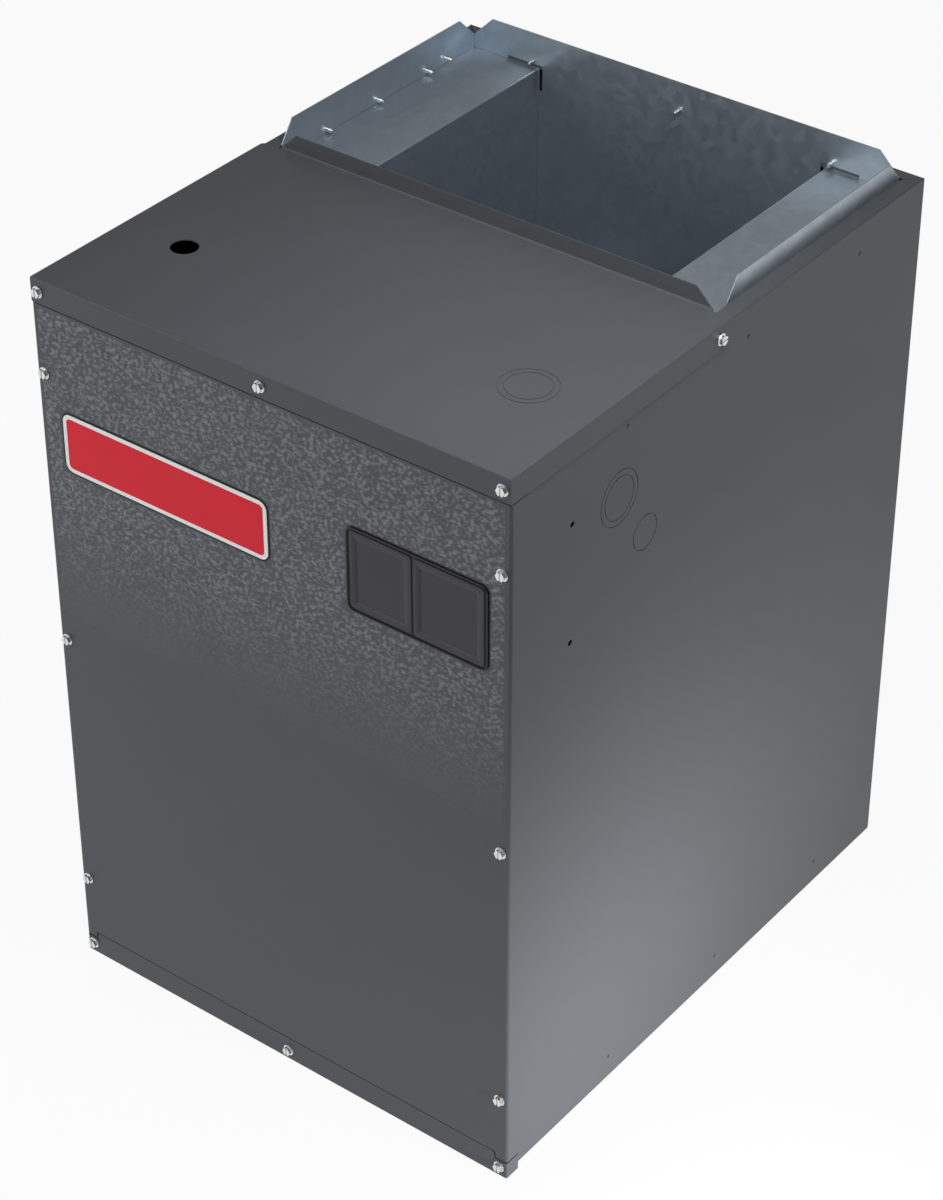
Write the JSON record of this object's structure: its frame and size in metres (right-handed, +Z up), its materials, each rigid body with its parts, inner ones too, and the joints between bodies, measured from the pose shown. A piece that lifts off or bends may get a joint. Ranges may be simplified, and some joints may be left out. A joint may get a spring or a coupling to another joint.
{
  "type": "modular blower",
  "caption": "Upright cabinet blower: painted shell, top discharge collar, screwed front door with breaker cover, and a motor-driven centrifugal wheel in a scroll housing.",
  "frame": {"origin": "middle of the cabinet's footprint, on the floor it stands on", "axes": "+X to the right seen from the front, -Y out of the access door, +Z up through the discharge collar"},
  "size_m": [0.454, 0.5381, 0.679],
  "materials": {
    "cabinet_paint": "satin baked paint, charcoal",
    "door_paint": "baked paint over stucco-embossed sheet",
    "galvanised": "galvanised sheet with spangle",
    "zinc_screw": "zinc plated",
    "black_plastic": "fine moulded grain",
    "badge": "printed film, plain",
    "insulation": "black-faced fibre board",
    "motor_paint": "black enamel",
    "cast_aluminium": "as cast",
    "lamination": "varnished steel laminations",
    "copper_winding": "enamelled copper",
    "ground_steel": "ground",
    "rubber": "moulded",
    "can_metal": "drawn can",
    "board_green": "solder mask",
    "coil_tape": "yellow winding tape",
    "sleeve": "braided sleeve"
  },
  "bodies": {
    "cabinet": {"side_panel_left": "cabinet_paint", "side_panel_right": "cabinet_paint", "back_panel": "cabinet_paint", "top_cap": "cabinet_paint", "base_front_rail": "cabinet_paint", "base_pan": "galvanised", "front_header": "galvanised", "collar_left": "galvanised", "collar_right": "galvanised", "duct_back": "galvanised", "duct_wall_left": "galvanised", "duct_wall_right": "galvanised", "partition": "galvanised", "heater_blank_plate": "galvanised", "blower_deck": "galvanised", "blower_rails": "galvanised", "housing_side_left": "galvanised", "housing_side_right": "galvanised", "scroll_wrap": "galvanised", "cut_off": "galvanised", "inlet_ring_left": "galvanised", "inlet_ring_right": "galvanised", "belly_band": "galvanised", "motor_arms": "galvanised", "capacitor_strap": "galvanised", "control_tray": "galvanised", "cabinet_screws": "zinc_screw", "collar_screws": "zinc_screw", "inner_screws": "zinc_screw", "band_bolt": "zinc_screw", "arm_bolts": "zinc_screw", "terminal_block": "black_plastic", "liner_left": "insulation", "liner_right": "insulation", "liner_back": "insulation", "motor_shell": "motor_paint", "motor_bell_outer": "cast_aluminium", "motor_bell_inner": "cast_aluminium", "stator_core": "lamination", "transformer_core": "lamination", "stator_winding": "copper_winding", "motor_bearings": "ground_steel", "arm_grommets": "rubber", "deck_grommet": "rubber", "capacitor": "can_metal", "control_board": "board_green", "transformer_coil": "coil_tape", "motor_harness": "sleeve"},
    "wheel": {"wheel_blades": "galvanised", "wheel_end_rings": "galvanised", "wheel_disc": "galvanised", "wheel_hub": "ground_steel", "wheel_set_screw": "ground_steel", "motor_shaft": "ground_steel", "motor_rotor": "lamination"},
    "door": {"door_panel": "door_paint", "door_liner": "insulation", "breaker_cover": "black_plastic", "badge_plate": "badge", "door_screws": "zinc_screw"}
  },
  "joints": [
    {"name": "wheel_spin", "type": "hinge", "parent": "cabinet", "child": "wheel", "pos_m": [0, 0.066, 0.24002], "axis": [1, 0, 0], "continuous": true},
    {"name": "door_pull", "type": "slide", "parent": "cabinet", "child": "door", "axis": [0, -1, 0], "range_m": [0, 0.12]}
  ]
}
